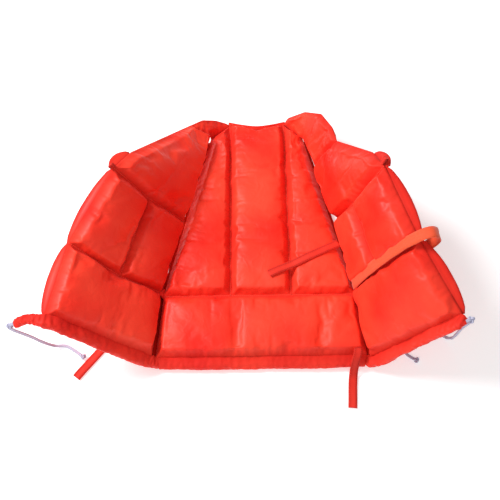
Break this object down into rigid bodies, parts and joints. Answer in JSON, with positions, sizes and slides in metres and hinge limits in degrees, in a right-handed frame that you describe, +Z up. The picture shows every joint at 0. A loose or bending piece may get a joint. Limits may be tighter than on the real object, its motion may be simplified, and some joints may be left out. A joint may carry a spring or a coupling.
{
  "type": "life jacket",
  "caption": "Foam life jacket lying open on its back: quilted pads in woven nylon, fronts that fold shut, hem drawstring, waist belt, parted buckle and side ties.",
  "frame": {"origin": "middle of the open jacket's footprint, on the ground", "axes": "+Y from the hem to the neck, +X to the right of a person looking from the hem at the lining, +Z up"},
  "size_m": [0.9178, 0.7434, 0.2833],
  "materials": {
    "outer_nylon": "glossy coated woven nylon, orange red",
    "lining_nylon": "glossy coated woven nylon, orange red",
    "foam": "closed-cell foam slab, hidden in its pocket",
    "webbing": "woven webbing, bright orange",
    "drawstring_tape": "flat woven tape, pale grey",
    "buckle_plastic": "moulded, fine grain"
  },
  "bodies": {
    "back_panel": {"back_outer_fabric": "outer_nylon", "back_lining": "lining_nylon", "back_lower_foam": "foam", "back_left_foam": "foam", "back_centre_foam": "foam", "back_right_foam": "foam", "neck_facing": "lining_nylon", "back_hem_casing": "outer_nylon", "back_drawstring": "drawstring_tape", "back_belt": "webbing"},
    "left_front": {"left_outer_fabric": "outer_nylon", "left_lining": "lining_nylon", "left_lower_foam": "foam", "left_mid_front_foam": "foam", "left_mid_arm_foam": "foam", "left_shoulder_foam": "foam", "left_shoulder_strap": "outer_nylon", "left_hem_casing": "outer_nylon", "left_drawstring": "drawstring_tape", "left_drawstring_end": "drawstring_tape", "left_drawstring_knot": "drawstring_tape", "left_belt": "webbing", "left_chest_tab": "outer_nylon"},
    "right_front": {"right_outer_fabric": "outer_nylon", "right_lining": "lining_nylon", "right_lower_foam": "foam", "right_mid_front_foam": "foam", "right_mid_arm_foam": "foam", "right_shoulder_foam": "foam", "right_shoulder_strap": "outer_nylon", "right_hem_casing": "outer_nylon", "right_drawstring": "drawstring_tape", "right_drawstring_end": "drawstring_tape", "right_drawstring_knot": "drawstring_tape", "right_belt": "webbing", "belt_tail": "webbing", "buckle_socket": "buckle_plastic", "right_chest_tab": "outer_nylon"},
    "plug": {"buckle_plug": "buckle_plastic"},
    "back_tie": {"back_tie": "outer_nylon"},
    "right_side_tie": {"right_side_tie": "outer_nylon"},
    "left_side_tie": {"left_side_tie": "outer_nylon"}
  },
  "joints": [
    {"name": "left_front_hinge", "type": "hinge", "parent": "back_panel", "child": "left_front", "pos_m": [-0.2068, -0.26215, 0.028], "axis": [0.2229, 0.9745, 0.027], "range_deg": [-30, 50]},
    {"name": "right_front_hinge", "type": "hinge", "parent": "back_panel", "child": "right_front", "pos_m": [0.2992, -0.26215, 0.027], "axis": [0.2042, -0.9786, -0.0255], "range_deg": [-45, 15]},
    {"name": "plug_swing", "type": "hinge", "parent": "left_front", "child": "plug", "pos_m": [-0.32124, -0.07561, 0.12134], "axis": [-0.221, -0.9751, 0.0199], "range_deg": [-10, 35]},
    {"name": "back_tie_swing", "type": "hinge", "parent": "back_panel", "child": "back_tie", "pos_m": [0.2312, -0.00315, 0.0465], "axis": [0, 0, 1], "range_deg": [-15, 20]},
    {"name": "right_side_tie_swing", "type": "hinge", "parent": "back_panel", "child": "right_side_tie", "pos_m": [0.2562, -0.25315, 0.044], "axis": [0, 0, 1], "range_deg": [-8, 10]},
    {"name": "left_side_tie_swing", "type": "hinge", "parent": "back_panel", "child": "left_side_tie", "pos_m": [-0.2638, -0.18615, 0.002], "axis": [0, 0, 1], "range_deg": [0, 15]}
  ]
}
